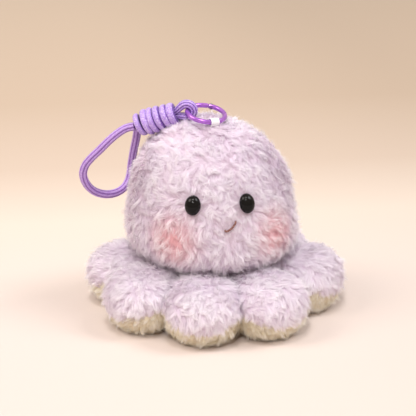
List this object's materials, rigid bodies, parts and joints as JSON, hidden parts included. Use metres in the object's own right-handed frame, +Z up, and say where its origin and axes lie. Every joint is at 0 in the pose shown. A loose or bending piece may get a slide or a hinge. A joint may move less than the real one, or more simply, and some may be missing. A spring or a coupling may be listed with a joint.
{
  "type": "octopus keychain",
  "caption": "Plush octopus with a bell-shaped head and a skirt of stuffed tentacles, hung from a sprung key ring with a knotted cord hand strap.",
  "frame": {"origin": "centre of the flat base panel, on the surface the toy stands on", "axes": "+Z up, the face looks towards -Y, the hand strap hangs towards -X"},
  "size_m": [0.1612, 0.1566, 0.1344],
  "materials": {
    "lilac_fur": "long shaggy pile, matted into tufts",
    "cream_fur": "short plush pile",
    "filling": "loose polyester fibre",
    "eye_plastic": "polished",
    "washer_plastic": "as moulded",
    "brown_thread": "embroidery thread",
    "white_ribbon": "woven tape",
    "purple_metal": "gloss lacquer",
    "steel": "plain",
    "lavender_cord": "braided polyester"
  },
  "bodies": {
    "head": {"head_cover": "lilac_fur", "head_filling": "filling", "eye_left": "eye_plastic", "eye_right": "eye_plastic", "eye_washer_left": "washer_plastic", "eye_washer_right": "washer_plastic", "mouth_stitch": "brown_thread", "ribbon_loop": "white_ribbon", "skirt_body": "lilac_fur", "base_panel": "cream_fur", "tentacle_1": "lilac_fur", "tentacle_2": "lilac_fur", "tentacle_3": "lilac_fur", "tentacle_4": "lilac_fur", "tentacle_5": "lilac_fur", "tentacle_6": "lilac_fur", "tentacle_7": "lilac_fur", "tentacle_8": "lilac_fur", "sole_1": "cream_fur", "sole_2": "cream_fur", "sole_3": "cream_fur", "sole_4": "cream_fur", "sole_5": "cream_fur", "sole_6": "cream_fur", "sole_7": "cream_fur", "sole_8": "cream_fur"},
    "ring": {"ring_body": "purple_metal", "gate_pin": "steel"},
    "gate": {"ring_gate": "purple_metal", "gate_spring": "steel"},
    "strap": {"strap_eye": "lavender_cord", "knot_wraps": "lavender_cord", "strap_loop": "lavender_cord"}
  },
  "joints": [
    {"name": "ring_swing", "type": "hinge", "parent": "head", "child": "ring", "pos_m": [-0.0028, -0.01709, 0.12262], "axis": [0.9517, 0.3064, -0.0203], "range_deg": [0, 110]},
    {"name": "gate_hinge", "type": "hinge", "parent": "ring", "child": "gate", "pos_m": [-0.00159, 0.00384, 0.12772], "axis": [-0.0981, 0.2408, -0.9656], "range_deg": [0, 28], "stiffness_Nm_per_rad": 0.01, "springref_deg": -20.05},
    {"name": "strap_swing", "type": "hinge", "parent": "ring", "child": "strap", "pos_m": [-0.0172, -0.00388, 0.12738], "axis": [0.2576, 0.9434, 0.209], "range_deg": [0, 100]}
  ]
}
